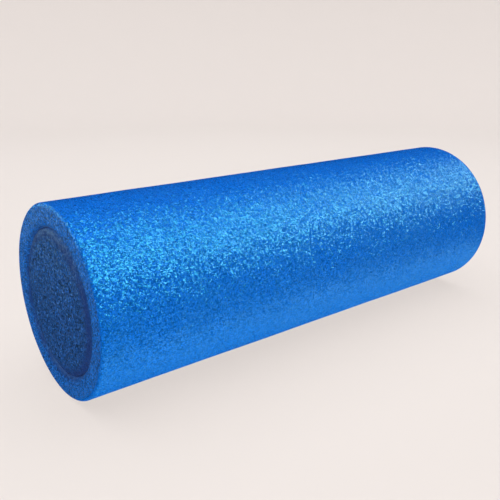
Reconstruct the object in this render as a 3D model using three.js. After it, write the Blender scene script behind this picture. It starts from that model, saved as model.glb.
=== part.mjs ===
// A full-round foam roller: a solid foam core bonded inside a thick foam sleeve.
// Millimetres, +Z up. The roller lies along X, and the origin is on the floor under its middle.
import * as THREE from "three";

// Driving dimensions
const LENGTH = 450;
const DIAMETER = 150;
const WALL = 18; // thickness of the sleeve
const BOND = 0.4; // thickness of the bonded layer
const GAP = 0.3; // clearance that keeps neighbouring solids apart
const RECESS = 0.3; // how far the core's faces sit inside the sleeve's ends
const OUTER_ROUND = 2.5; // radius of the sleeve's outer edges
const GROOVE_DEPTH = 2.8; // of the groove round each end, where the core meets the sleeve
const MOUTH_WIDTH = 6; // how far the sleeve's face curves down into the groove
const CORE_WIDTH = 7; // how far the core's face curves down into it
const SIDES = 72; // facets around the roller; a multiple of 4 puts one flat on the floor
const EDGE_STEPS = 4; // straight steps in each rounded edge

const QUARTER = Math.PI / 2;
const FACET_ANGLE = (2 * Math.PI) / SIDES;
const SLEEVE_OUTER = DIAMETER / 2;
const SLEEVE_INNER = SLEEVE_OUTER - WALL;
const BOND_OUTER = SLEEVE_INNER - GAP;
const BOND_INNER = BOND_OUTER - BOND;
const CORE_OUTER = BOND_INNER - GAP;
const SLEEVE_END = LENGTH / 2;
const CORE_END = SLEEVE_END - RECESS;
const BOND_END = SLEEVE_END - GROOVE_DEPTH;

const COLOURS = { sleeve: 0x2a7ecf, core: 0x24589a, bond: 0x163f78 };

// A profile point. The radius is given to the middle of a facet, so the facets touch the true circle.
function at(radius, along) {
  return new THREE.Vector2(radius / Math.cos(FACET_ANGLE / 2), along);
}

// Points of a quarter oval about (radius, along), from the angle "start" through a quarter turn.
function quarterOval(radius, along, width, depth, start) {
  const points = [];
  for (let i = 0; i <= EDGE_STEPS; i++) {
    const angle = start + (QUARTER * i) / EDGE_STEPS;
    points.push(at(radius + width * Math.cos(angle), along + depth * Math.sin(angle)));
  }
  return points;
}

// The section turned about the roller's axis, which lies along X at half the diameter above the floor.
function turned(name, profile, colour) {
  const shape = new THREE.LatheGeometry(profile, SIDES, FACET_ANGLE / 2);
  const foam = new THREE.MeshStandardMaterial({ color: colour, roughness: 0.7, metalness: 0 });
  const mesh = new THREE.Mesh(shape, foam);
  mesh.name = name;
  mesh.rotation.z = -QUARTER;
  mesh.position.z = DIAMETER / 2;
  return mesh;
}

// Thick tube with every edge rounded: the closed section runs up the outside and down the bore.
function outerSleeve() {
  const rim = SLEEVE_OUTER - OUTER_ROUND;
  const rimEnd = SLEEVE_END - OUTER_ROUND;
  const mouth = SLEEVE_INNER + MOUTH_WIDTH;
  const profile = [
    ...quarterOval(rim, -rimEnd, OUTER_ROUND, OUTER_ROUND, -QUARTER),
    ...quarterOval(rim, rimEnd, OUTER_ROUND, OUTER_ROUND, 0),
    ...quarterOval(mouth, BOND_END, MOUTH_WIDTH, GROOVE_DEPTH, QUARTER),
    ...quarterOval(mouth, -BOND_END, MOUTH_WIDTH, GROOVE_DEPTH, 2 * QUARTER),
  ];
  profile.push(profile[0].clone());
  return turned("outer_sleeve", profile, COLOURS.sleeve);
}

// Solid rod with rounded edges, set just inside the sleeve's ends.
function innerCore() {
  const rim = CORE_OUTER - CORE_WIDTH;
  const depth = CORE_END - BOND_END;
  const profile = [
    new THREE.Vector2(0, -CORE_END),
    ...quarterOval(rim, -BOND_END, CORE_WIDTH, depth, -QUARTER),
    ...quarterOval(rim, BOND_END, CORE_WIDTH, depth, 0),
    new THREE.Vector2(0, CORE_END),
  ];
  return turned("inner_core", profile, COLOURS.core);
}

// Thin layer that holds the core in the sleeve. It stops at the bottom of the groove at each end.
function bondFilm() {
  const profile = [
    at(BOND_INNER, -BOND_END),
    at(BOND_OUTER, -BOND_END),
    at(BOND_OUTER, BOND_END),
    at(BOND_INNER, BOND_END),
    at(BOND_INNER, -BOND_END),
  ];
  return turned("bond_film", profile, COLOURS.bond);
}

const roller = new THREE.Group();
roller.add(outerSleeve(), innerCore(), bondFilm());

export default roller;
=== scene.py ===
"""Foam roller: its foam pieces, materials, studio and camera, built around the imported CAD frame.

The roller lies along X on the floor. Everything is in metres, in the row frame.
"""

import math

import bpy
import numpy as np
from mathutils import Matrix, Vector, noise


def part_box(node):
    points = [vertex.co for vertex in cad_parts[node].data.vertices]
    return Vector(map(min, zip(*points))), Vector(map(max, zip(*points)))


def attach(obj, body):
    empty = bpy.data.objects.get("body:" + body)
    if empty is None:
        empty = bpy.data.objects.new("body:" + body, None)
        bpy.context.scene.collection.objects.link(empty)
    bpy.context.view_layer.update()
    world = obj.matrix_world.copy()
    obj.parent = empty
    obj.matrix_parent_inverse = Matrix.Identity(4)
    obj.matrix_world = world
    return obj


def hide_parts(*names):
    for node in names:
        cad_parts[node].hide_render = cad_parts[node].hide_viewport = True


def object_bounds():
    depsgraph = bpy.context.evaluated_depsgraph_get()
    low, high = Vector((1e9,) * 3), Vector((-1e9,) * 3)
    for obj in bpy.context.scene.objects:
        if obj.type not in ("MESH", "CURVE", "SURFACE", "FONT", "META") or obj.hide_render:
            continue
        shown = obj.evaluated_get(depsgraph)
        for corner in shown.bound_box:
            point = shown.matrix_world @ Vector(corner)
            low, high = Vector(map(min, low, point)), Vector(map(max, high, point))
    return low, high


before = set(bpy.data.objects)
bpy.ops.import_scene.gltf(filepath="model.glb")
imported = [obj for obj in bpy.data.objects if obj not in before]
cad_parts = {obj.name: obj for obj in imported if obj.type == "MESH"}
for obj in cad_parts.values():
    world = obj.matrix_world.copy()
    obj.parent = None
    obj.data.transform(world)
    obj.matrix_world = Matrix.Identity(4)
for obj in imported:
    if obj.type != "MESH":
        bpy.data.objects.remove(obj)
CAD_LOW, CAD_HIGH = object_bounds()

MM = 0.001
QUARTER = math.pi / 2

# Camera: where it stands from the middle of the near end face, and which way it looks
CAMERA_FROM_END = Vector((-0.1600, -0.4279, 0.1763))
CAMERA_AZIMUTH = -38.8
CAMERA_ELEVATION = 17.3
CAMERA_LENS = 45.5

# Mesh density: faces around, and the spacing of rows
SLEEVE_SIDES = 352
FILM_SIDES = 240
SIDE_ROW = 1.95 * MM
RING_ROW = 1.15 * MM
HIDDEN_ROW = 60 * MM
EDGE_STEPS = 6  # steps in each rounded edge
CORE_CELLS = 150  # squares across each end face of the core

# Shape of the foam's edges and faces
OUTER_ROUND = 2.5 * MM
MOUTH_WIDTH = 6 * MM  # how far the sleeve's face curves down into the end groove
CORE_WIDTH = 7 * MM  # how far the core's face curves down into it
FILM_CLEARANCE = 0.1 * MM  # between the bond film and the foam
FILM_WANDER = 0.5 * MM  # how unevenly the film's ends run round the groove
CORE_CROWN = 0.3 * MM  # how much the core's cut faces swell towards the middle
CONTACT_SINK = 0.15 * MM  # how much the foam gives where it rests on the floor

# The dark band along the joint on each end: the joint's own darker colour, and painted shade of the end
# groove
WELD_AND_SHADE_WIDTH = 4.4 * MM
WELD_AND_SHADE_MIDDLE = -2.2 * MM  # where it is darkest, from the joint
WELD_AND_SHADE_OFFSET = (1.0 * MM, -1.8 * MM)  # how far it is off the roller's axis, in Y and Z
WELD_AND_SHADE_WANDER = 0.5  # how unevenly dark it is, as a share
WANDER_SIZE = 9 * MM  # length of the unevenness in the band and in the film

# Relief of the foam: size and height of each kind of unevenness
SWELL = (48 * MM, 0.22 * MM)  # broad waves left by the heat-rolled surface
DIMPLE = (9 * MM, 0.06 * MM)  # soft hollows
SKIN_CELLS = (4.0 * MM, 0.04 * MM)  # clusters of cells in the skin
CUT_CELLS = (2.1 * MM, 0.14 * MM)  # cells opened by the cut
RELIEF_FADE = 3 * MM  # how far from the joint the relief is at its full height


# ---------------------------------------------------------------- camera


def add_camera():
    """The camera at the photograph's viewing angle."""
    end = Vector((CAD_LOW.x, (CAD_LOW.y + CAD_HIGH.y) / 2, (CAD_LOW.z + CAD_HIGH.z) / 2))
    azimuth = math.radians(CAMERA_AZIMUTH)
    elevation = math.radians(CAMERA_ELEVATION)
    across = math.cos(elevation)
    back = Vector((math.sin(azimuth) * across, -math.cos(azimuth) * across, math.sin(elevation)))
    camera = bpy.data.objects.new("camera", bpy.data.cameras.new("camera"))
    camera.data.lens = CAMERA_LENS
    camera.location = end + CAMERA_FROM_END
    camera.rotation_euler = back.to_track_quat("Z", "Y").to_euler()
    bpy.context.scene.collection.objects.link(camera)
    bpy.context.scene.camera = camera


# ---------------------------------------------------------------- mesh tools


def arc(along, radius, depth, width, start, stop):
    """Profile points of an oval about (along, radius), between two angles from the roller's axis."""
    angles = np.linspace(start, stop, EDGE_STEPS + 1)
    return [(along + depth * math.cos(a), radius + width * math.sin(a)) for a in angles]


def between(first, last, spacing):
    """Profile points strictly between two others, at about this spacing."""
    first, last = np.array(first), np.array(last)
    count = max(1, round(float(np.linalg.norm(last - first)) / spacing))
    return [tuple(first + (last - first) * i / count) for i in range(1, count)]


def turned(profile, sides, height):
    """The points of a profile turned about the roller's axis, row by row.

    Each row starts an eighth of a turn short of the top, where a disc's grid has its first corner.
    """
    angles = 2 * math.pi * np.arange(sides) / sides - QUARTER / 2
    along, radius = np.array(profile)[:, :1], np.array(profile)[:, 1:]
    x = np.repeat(along, sides, axis=1)
    y = radius * np.sin(angles)
    z = height + radius * np.cos(angles)
    return np.stack([x, y, z], axis=2).reshape(-1, 3)


def band_faces(rows, sides, closed):
    """Quads between each row of a turned profile and the next."""
    faces = []
    for row in range(rows if closed else rows - 1):
        here = row * sides
        there = (row + 1) % rows * sides
        for i in range(sides):
            j = (i + 1) % sides
            faces.append((here + i, there + i, there + j, here + j))
    return faces


def make_piece(name, points, faces, material):
    """A smooth-shaded object with one material."""
    mesh = bpy.data.meshes.new(name)
    mesh.from_pydata(points.tolist(), [], faces)
    mesh.shade_smooth()
    mesh.materials.append(material)
    piece = bpy.data.objects.new(name, mesh)
    bpy.context.scene.collection.objects.link(piece)
    return piece


def set_share(piece, name, values):
    """Stores a number from 0 to 1 at each vertex, for the material to read."""
    attribute = piece.data.attributes.new(name, "FLOAT", "POINT")
    attribute.data.foreach_set("value", np.asarray(values, np.float32))


def relief(point, cells):
    """Height of the foam's surface at a point: broad waves, soft hollows and rounded cells."""
    swell = SWELL[1] * noise.noise(point / SWELL[0])
    dimple = DIMPLE[1] * noise.noise(point / DIMPLE[0])
    nearest = noise.voronoi(point / cells[0])[0][0]
    return swell + dimple + cells[1] * (0.5 - nearest)


def roughen(piece, share, cells):
    """Moves each vertex along its normal by the foam's relief times its share.

    The bottom is held flat, where the foam gives on the floor.
    """
    count = len(piece.data.vertices)
    points, normals = np.empty(count * 3), np.empty(count * 3)
    piece.data.vertices.foreach_get("co", points)
    piece.data.vertices.foreach_get("normal", normals)
    points, normals = points.reshape(-1, 3), normals.reshape(-1, 3)
    for i in np.nonzero(share)[0]:
        points[i] += normals[i] * relief(Vector(points[i]), cells) * share[i]
    points[:, 2] = np.maximum(points[:, 2], CAD_LOW.z + CONTACT_SINK)
    piece.data.vertices.foreach_set("co", points.ravel())
    piece.data.update()


def from_axis(points, height, offset=(0, 0)):
    """Each point's distance from the roller's axis, or from a line beside it."""
    return np.hypot(points[:, 1] - offset[0], points[:, 2] - height - offset[1])


def weld_and_groove_shade(points, joint, height):
    """How dark the foam is near the joint: the joint's own darker colour and painted shade of the groove,
    most near the joint.
    """
    away = (from_axis(points, height, WELD_AND_SHADE_OFFSET) - joint - WELD_AND_SHADE_MIDDLE) / WELD_AND_SHADE_WIDTH
    wander = np.array([noise.noise(Vector(point) / WANDER_SIZE) for point in points])
    return np.exp(-away * away) * (1 + WELD_AND_SHADE_WANDER * wander)


def fading(points, joint, height):
    """Share of the relief that a point gets: all on open foam, and none at the bottom of the groove."""
    away = np.abs(from_axis(points, height) - joint) / RELIEF_FADE
    return np.clip(away, 0, 1)


def box_sizes(cad_node):
    """A turned CAD node's half length, its radius and the height of its axis."""
    low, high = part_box(cad_node)
    return (high.x - low.x) / 2, (high.z - low.z) / 2, (high.z + low.z) / 2


# ---------------------------------------------------------------- pieces


def make_sleeve(skin, cut):
    """The thick foam jacket: skin on its side, cut foam on its end rings, and rounded edges."""
    half, outer, height = box_sizes("outer_sleeve")
    groove, joint, _ = box_sizes("bond_film")
    inner, depth = joint + FILM_CLEARANCE, half - groove
    rim, rim_end = outer - OUTER_ROUND, half - OUTER_ROUND
    mouth = inner + MOUTH_WIDTH
    left_edge = arc(-rim_end, rim, OUTER_ROUND, OUTER_ROUND, 2 * QUARTER, QUARTER)
    right_edge = arc(rim_end, rim, OUTER_ROUND, OUTER_ROUND, QUARTER, 0)
    right_mouth = arc(groove, mouth, depth, MOUTH_WIDTH, 0, -QUARTER)
    left_mouth = arc(-groove, mouth, depth, MOUTH_WIDTH, -QUARTER, -2 * QUARTER)
    sections = [
        ("edge", left_edge),
        ("side", between(left_edge[-1], right_edge[0], SIDE_ROW)),
        ("edge", right_edge),
        ("ring", between(right_edge[-1], right_mouth[0], RING_ROW)),
        ("mouth", right_mouth),
        ("bore", between(right_mouth[-1], left_mouth[0], HIDDEN_ROW)),
        ("mouth", left_mouth),
        ("ring", between(left_mouth[-1], left_edge[0], RING_ROW)),
    ]
    profile = [point for _, points in sections for point in points]
    kinds = np.array([kind for kind, points in sections for _ in points])
    points = turned(profile, SLEEVE_SIDES, height)
    faces = band_faces(len(profile), SLEEVE_SIDES, True)
    piece = make_piece("foam_sleeve", points, faces, skin)
    # the band darkens the end rings and mouths: the joint's colour, and painted shade of the end groove
    set_share(piece, "weld_and_shade", weld_and_groove_shade(points, joint, height) * np.repeat(kinds != "side", SLEEVE_SIDES))
    hidden = np.repeat(kinds == "bore", SLEEVE_SIDES)
    roughen(piece, np.where(hidden, 0, fading(points, joint, height)), SKIN_CELLS)
    piece.data.materials.append(cut)
    opened = np.isin(kinds, ("ring", "mouth", "bore"))
    slots = np.repeat(opened | np.roll(opened, -1), SLEEVE_SIDES)
    piece.data.polygons.foreach_set("material_index", slots.astype(np.int32))
    return piece


def disc_grid(cells):
    """A square grid bent to fill a round disc: each grid point's share of the radius, and its angle."""
    steps = np.linspace(-1, 1, cells + 1)
    a, b = np.meshgrid(steps, steps, indexing="ij")
    upright = np.abs(b) > np.abs(a)
    reach = np.where(upright, b, a)
    slope = np.where(upright, a, b) / np.where(reach == 0, 1, reach) * QUARTER / 2
    angle = np.where(upright, QUARTER - slope, slope)
    return np.abs(reach), np.where(reach < 0, angle + 2 * QUARTER, angle)


def add_disc(points, faces, edge_start, end, radius, height):
    """Fills a row of points with a disc of near-square faces. The row starts at edge_start, at X = end."""
    share, angle = disc_grid(CORE_CELLS)
    column = np.round((angle + QUARTER / 2) / QUARTER * CORE_CELLS).astype(int)
    on_edge = share > 1 - 1 / CORE_CELLS  # the grid's rim is the row itself
    index = np.empty(share.shape, int)
    index[on_edge] = edge_start + column[on_edge] % (4 * CORE_CELLS)
    index[~on_edge] = len(points) + np.arange(np.count_nonzero(~on_edge))
    share, angle = share[~on_edge], angle[~on_edge]
    side = math.copysign(1, end)
    x = end + side * CORE_CROWN * (1 - share * share)
    y = radius * share * np.sin(angle)
    z = height + radius * share * np.cos(angle)
    for i in range(CORE_CELLS):
        for j in range(CORE_CELLS):
            square = (index[i, j], index[i + 1, j], index[i + 1, j + 1], index[i, j + 1])
            faces.append(tuple(int(v) for v in square[:: -int(side)]))  # wound to face out of its end
    return np.vstack([points, np.stack([x, y, z], axis=1)])


def make_core(cut):
    """The solid foam rod: cut faces with open cells, and rounded edges that form the end grooves."""
    half, radius, height = box_sizes("inner_core")
    groove, joint, _ = box_sizes("bond_film")
    sides = 4 * CORE_CELLS
    rim = radius - CORE_WIDTH
    left_edge = arc(-groove, rim, half - groove, CORE_WIDTH, 2 * QUARTER, QUARTER)
    right_edge = arc(groove, rim, half - groove, CORE_WIDTH, QUARTER, 0)
    profile = left_edge + between(left_edge[-1], right_edge[0], HIDDEN_ROW) + right_edge
    points = turned(profile, sides, height)
    faces = band_faces(len(profile), sides, False)
    last_row = (len(profile) - 1) * sides
    points = add_disc(points, faces, 0, -half, rim, height)
    points = add_disc(points, faces, last_row, half, rim, height)
    piece = make_piece("foam_core", points, faces, cut)
    # the band darkens the core's rounded edges: the joint's colour, and painted shade of the end groove
    set_share(piece, "weld_and_shade", weld_and_groove_shade(points, joint, height))
    hidden = np.abs(points[:, 0]) < groove
    roughen(piece, np.where(hidden, 0, fading(points, joint, height)), CUT_CELLS)
    return piece


def make_film(material):
    """The thin bonded layer between core and sleeve. Its ends wander a little in the grooves."""
    half, outer, height = box_sizes("bond_film")
    inner = box_sizes("inner_core")[1] + FILM_CLEARANCE
    corners = [(-half, inner), (-half, outer), (half, outer), (half, inner)]
    profile = []
    for first, last in zip(corners, corners[1:] + corners[:1]):
        profile += [first] + between(first, last, HIDDEN_ROW)
    points = turned(profile, FILM_SIDES, height)
    for i in np.nonzero(np.abs(points[:, 0]) == half)[0]:
        wander = FILM_WANDER * noise.noise(Vector(points[i]) / WANDER_SIZE)
        points[i, 0] += math.copysign(1, points[i, 0]) * wander
    return make_piece("bond_layer", points, band_faces(len(profile), FILM_SIDES, True), material)


# ---------------------------------------------------------------- materials

# Each foam's colour and cells, and the gloss of its surface. In all of them:
# pale: how much paler than the colour the brightest cells are
# cell, tilt: the size of a cell, and how far it leans its own way
# contrast: how much darker and brighter than the colour the cells get
# specular, tint: how strong the gloss is, and its colour
SKIN_FOAM = dict(
    colour=(0.001, 0.150, 0.730), pale=0.006, cell=1.0 * MM, tilt=0.9, contrast=0.50,
    roughness=0.21, specular=1.0, tint=(0.09, 0.95, 1.0),
)
RING_FOAM = dict(
    colour=(0.003, 0.140, 0.620), pale=0.004, cell=1.2 * MM, tilt=1.1, contrast=0.85,
    roughness=0.45, specular=0.4, tint=(0.22, 0.80, 1.0),
)
CORE_FOAM = dict(
    colour=(0.004, 0.082, 0.370), pale=0.018, cell=1.3 * MM, tilt=1.2, contrast=0.95,
    roughness=0.45, specular=0.4, tint=(0.22, 0.80, 1.0),
)
DOME = 0.2  # height of a cell's dome, as a share of the cell's size
WALL_BEND = 0.5  # waves in the cells' walls for each cell
CELL_VARIETY = 0.6  # how much a cell's own tone counts beside its dome
TONE_RANGE = (0.6, 1.5)  # dome and tone together, from the darkest foam to the brightest
# the joint band's colour: the joint's own dark colour, and painted shade of the end grooves
WELD_AND_GROOVE_SHADE_COLOUR = (0.011, 0.038, 0.210)
WELD_TILT = 0.5  # how far the melted cells of the weld still lean, as a share

# Slow patches of duller foam
PATCH_SCALE = 30.0  # patches in a metre
PATCH_DETAIL = 3.0
PATCH_RANGE = (0.3, 0.7)
PATCH_SHARE = 0.35  # how far a patch covers the cells' contrast
PATCH_TONE = 0.85
PATCH_ROUGHNESS = 0.05  # how much rougher or smoother than the rest a patch is

# Bond film: a dark layer that shows as the dark line deep in each end groove
FILM_COLOUR = (0.012, 0.034, 0.140)
FILM_GLOSS = dict(roughness=0.6, specular=0.2, tint=(0.22, 0.80, 1.0))
STREAK_SCALE = 160.0  # streaks in a metre
STREAK_DETAIL = 3.0
STREAK_TONES = (0.6, 1.6)
STREAK_DEPTH = 0.2 * MM

MIDDLE_GREY = (0.5, 0.5, 0.5)  # taken from a random colour to leave a random direction


def node(tree, kind, inputs=None, **settings):
    """Adds a node. An input's value is a constant, or a socket to link."""
    made = tree.nodes.new(kind)
    for key, value in settings.items():
        setattr(made, key, value)
    for key, value in (inputs or {}).items():
        if isinstance(value, bpy.types.NodeSocket):
            tree.links.new(value, made.inputs[key])
        else:
            made.inputs[key].default_value = value
    return made


def math_node(tree, operation, *values):
    """Arithmetic on numbers."""
    return node(tree, "ShaderNodeMath", dict(enumerate(values)), operation=operation).outputs[0]


def vector_node(tree, operation, *values):
    """Arithmetic on vectors."""
    return node(tree, "ShaderNodeVectorMath", dict(enumerate(values)), operation=operation).outputs[0]


def noise_node(tree, place, scale, detail):
    """Smooth random noise."""
    return node(tree, "ShaderNodeTexNoise", {"Vector": place, "Scale": scale, "Detail": detail})


def ramp(tree, value, low, high, to_low, to_high):
    """value from low to high, mapped to a range of its own and held at its ends."""
    inputs = {0: value, 1: low, 2: high, 3: to_low, 4: to_high}
    return node(tree, "ShaderNodeMapRange", inputs).outputs[0]


def mix(tree, share, first, second):
    """A blend of two colours."""
    return node(tree, "ShaderNodeMix", {0: share, 6: first, 7: second}, data_type="RGBA").outputs[2]


def scaled(colour, factor, pale=0):
    """A colour made brighter by a factor, and paler by the same amount in each channel."""
    return (*(c * factor + pale for c in colour), 1)


def new_material(name, roughness, specular, tint):
    """A material with its shader, and the object coordinates that its patterns use."""
    material = bpy.data.materials.new(name)
    material.use_nodes = True
    tree = material.node_tree
    shader = tree.nodes["Principled BSDF"]
    shader.inputs["Roughness"].default_value = roughness
    shader.inputs["Specular IOR Level"].default_value = specular
    shader.inputs["Specular Tint"].default_value = (*tint, 1)
    return material, tree, shader, node(tree, "ShaderNodeTexCoord").outputs["Object"]


def foam_cells(tree, place, cell):
    """Cells with bent walls: how high each point is on its cell's dome, and the cell's own random colour."""
    bend = noise_node(tree, place, WALL_BEND / cell, 1.0).outputs["Color"]
    bend = vector_node(tree, "SUBTRACT", bend, MIDDLE_GREY)
    moved = vector_node(tree, "MULTIPLY_ADD", bend, (cell,) * 3, place)
    cells = node(tree, "ShaderNodeTexVoronoi", {"Vector": moved, "Scale": 1 / cell})
    distance = cells.outputs["Distance"]
    dome = math_node(tree, "MULTIPLY_ADD", distance, math_node(tree, "MULTIPLY", distance, -1.0), 1.0)
    return dome, cells.outputs["Color"]


def foam_colour(tree, dome, own, patches, colour, pale, contrast):
    """Cells from dark to bright, each with a tone of its own, under slow duller patches."""
    tone = node(tree, "ShaderNodeSeparateColor", {0: own}).outputs[0]
    height = math_node(tree, "MULTIPLY_ADD", tone, CELL_VARIETY, dome)
    brightness = ramp(tree, height, *TONE_RANGE, 0.0, 1.0)
    grain = mix(tree, brightness, scaled(colour, 1 - contrast), scaled(colour, 1 + contrast, pale))
    dullness = ramp(tree, patches, *PATCH_RANGE, 0.0, PATCH_SHARE)
    return mix(tree, dullness, grain, scaled(colour, PATCH_TONE))


def foam_normal(tree, dome, own, weld_and_shade, cell, tilt):
    """Leans each cell its own way, less where the weld melted it, and rounds it into a dome."""
    lean = vector_node(tree, "SUBTRACT", own, MIDDLE_GREY)
    melted = ramp(tree, weld_and_shade, 0.0, 1.0, tilt, tilt * WELD_TILT)
    upright = node(tree, "ShaderNodeNewGeometry").outputs["Normal"]
    leaning = vector_node(tree, "MULTIPLY_ADD", lean, melted, upright)
    faced = vector_node(tree, "NORMALIZE", leaning)
    bump = node(tree, "ShaderNodeBump", {"Height": dome, "Distance": DOME * cell, "Normal": faced})
    return bump.outputs[0]


def foam_material(name, colour, pale, cell, tilt, contrast, roughness, specular, tint):
    """Closed-cell foam, uneven in colour and gloss, and dark where the mesh has its weld: the joint's colour
    and painted groove shade.
    """
    material, tree, shader, place = new_material(name, roughness, specular, tint)
    dome, own = foam_cells(tree, place, cell)
    patches = noise_node(tree, place, PATCH_SCALE, PATCH_DETAIL).outputs[0]
    weld_and_shade = node(tree, "ShaderNodeAttribute", attribute_name="weld_and_shade").outputs["Fac"]
    body = foam_colour(tree, dome, own, patches, colour, pale, contrast)
    gloss = ramp(tree, patches, *PATCH_RANGE, roughness - PATCH_ROUGHNESS, roughness + PATCH_ROUGHNESS)
    # painted groove shade and the joint's dark colour, mixed into the base colour
    tree.links.new(mix(tree, weld_and_shade, body, (*WELD_AND_GROOVE_SHADE_COLOUR, 1)), shader.inputs["Base Color"])
    tree.links.new(gloss, shader.inputs["Roughness"])
    tree.links.new(foam_normal(tree, dome, own, weld_and_shade, cell, tilt), shader.inputs["Normal"])
    return material


def film_material():
    """The fused bond: dark, smooth and faintly streaked."""
    material, tree, shader, place = new_material("bond_film", **FILM_GLOSS)
    streaks = noise_node(tree, place, STREAK_SCALE, STREAK_DETAIL).outputs[0]
    dark, bright = (scaled(FILM_COLOUR, tone) for tone in STREAK_TONES)
    tree.links.new(mix(tree, streaks, dark, bright), shader.inputs["Base Color"])
    bump = node(tree, "ShaderNodeBump", {"Height": streaks, "Distance": STREAK_DEPTH})
    tree.links.new(bump.outputs[0], shader.inputs["Normal"])
    return material


# ---------------------------------------------------------------- studio

FLOOR_HOLE = 1 * MM  # radius of the face that closes the middle of the floor
FLOOR_FLAT = 1.7  # radius of the flat floor
FLOOR_CURVE = 0.9  # radius of its rise into the backdrop
FLOOR_STEPS = 12  # straight steps in that rise
FLOOR_SIDES = 96
BACKDROP_TOP = 1.5
FLOOR_COLOUR = (0.695, 0.657, 0.640)
WORLD_COLOUR = (1.0, 0.985, 0.97)
WORLD_STRENGTH = 1.1

WHITE = (1.0, 1.0, 1.0)
COOL = (0.6, 0.9, 1.0)
WARM = (1.0, 1.0, 0.8)
BOUNCE = (0.45, 0.95, 1.0)

# Softboxes for the foam: name, place and aim from the middle of the roller, size, power in watts, colour,
# and whether the foam shows it in its gloss or in the colour of its body
SOFTBOXES = [
    ("key_softbox", (0.5, -0.8, 1.25), (0.5, 0, 0), (3.2, 0.6), 47, WHITE, "gloss"),
    ("far_softbox", (1.5, -0.85, 1.25), (0.2, 0, 0), (1.0, 0.5), 16, WHITE, "gloss"),
    ("table_bounce", (0.35, -0.15, -0.5), (0.35, 0, 0), (2.0, 0.5), 2.0, BOUNCE, "gloss"),
    ("table_glow", (0.25, -0.1, -0.35), (0.25, 0, 0), (1.3, 0.4), 4.9, WARM, "body"),
    ("overhead", (0.4, 0.4, 1.4), (0.4, 0, 0), (2, 1), 10, WHITE, "body"),
    ("end_softbox", (-0.38, 0.2, 0.12), (-0.225, 0, 0.02), (0.2, 0.2), 0.39, COOL, "gloss"),
]
FLOOR_SOFTBOX = ("floor_fill", (0, 0, 2.6), (0, 0, 0), (5, 5), 41, WHITE, "both")


def add_floor():
    """A pale floor that rises all round into a backdrop. The foam doesn't mirror it."""
    angles = np.linspace(0, QUARTER, FLOOR_STEPS + 1)
    rise = [(FLOOR_FLAT + FLOOR_CURVE * math.sin(a), FLOOR_CURVE * (1 - math.cos(a))) for a in angles]
    outline = [(FLOOR_HOLE, 0), *rise, (FLOOR_FLAT + FLOOR_CURVE, BACKDROP_TOP)]
    around = 2 * math.pi * np.arange(FLOOR_SIDES) / FLOOR_SIDES
    level = np.ones(FLOOR_SIDES)
    rows = [np.stack([r * np.cos(around), r * np.sin(around), z * level], axis=1) for r, z in outline]
    faces = [tuple(reversed(face)) for face in band_faces(len(outline), FLOOR_SIDES, False)]
    faces.append(tuple(range(FLOOR_SIDES)))
    material, _, shader, _ = new_material("pale_floor", 0.9, 0.1, WHITE)
    shader.inputs["Base Color"].default_value = (*FLOOR_COLOUR, 1)
    floor = make_piece("studio_floor", np.vstack(rows) + np.array([0, 0, CAD_LOW.z]), faces, material)
    floor.visible_glossy = False
    return floor


def add_softbox(name, place, aim, size, power, colour, shows, lit, shading):
    """A soft rectangular light. It lights one collection, and only the other one casts shadows in it."""
    light = bpy.data.lights.new(name, "AREA")
    light.shape = "RECTANGLE"
    light.size, light.size_y = size
    light.energy = power
    light.color = colour
    lamp = bpy.data.objects.new(name, light)
    lamp.location = (CAD_LOW + CAD_HIGH) / 2 + Vector(place)
    lamp.rotation_euler = (Vector(place) - Vector(aim)).to_track_quat("Z", "Y").to_euler()
    lamp.visible_camera = False
    lamp.visible_diffuse = shows != "gloss"
    lamp.visible_glossy = shows != "body"
    lamp.light_linking.receiver_collection = lit
    lamp.light_linking.blocker_collection = shading
    bpy.context.scene.collection.objects.link(lamp)


def add_studio(roller):
    """The pale floor, an even sky that the foam doesn't mirror, and the softboxes."""
    world = bpy.data.worlds.new("studio")
    world.use_nodes = True
    background = world.node_tree.nodes["Background"]
    background.inputs["Color"].default_value = (*WORLD_COLOUR, 1)
    background.inputs["Strength"].default_value = WORLD_STRENGTH
    bpy.context.scene.world = world
    world.cycles_visibility.glossy = False
    bpy.context.scene.view_settings.view_transform = "Standard"
    room = bpy.data.collections.new("room")
    room.objects.link(add_floor())
    for softbox in SOFTBOXES:
        add_softbox(*softbox, lit=roller, shading=roller)
    add_softbox(*FLOOR_SOFTBOX, lit=room, shading=roller)


# ---------------------------------------------------------------- build

add_camera()
skin_foam = foam_material("foam_skin", **SKIN_FOAM)
ring_foam = foam_material("foam_cut_ring", **RING_FOAM)
core_foam = foam_material("foam_cut_core", **CORE_FOAM)
pieces = [
    (make_sleeve(skin_foam, ring_foam), "outer_sleeve", "sleeve_foam"),
    (make_core(core_foam), "inner_core", "core_foam"),
    (make_film(film_material()), "bond_film", "bond_layer"),
]
roller = bpy.data.collections.new("roller")
for piece, cad_node, slot in pieces:
    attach(piece, "root")
    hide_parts(cad_node)
    roller.objects.link(piece)
    # this also takes the shade out of the end grooves, which the dark joint band paints instead
    piece.visible_diffuse = False  # so that the foam throws no blue onto the floor
add_studio(roller)
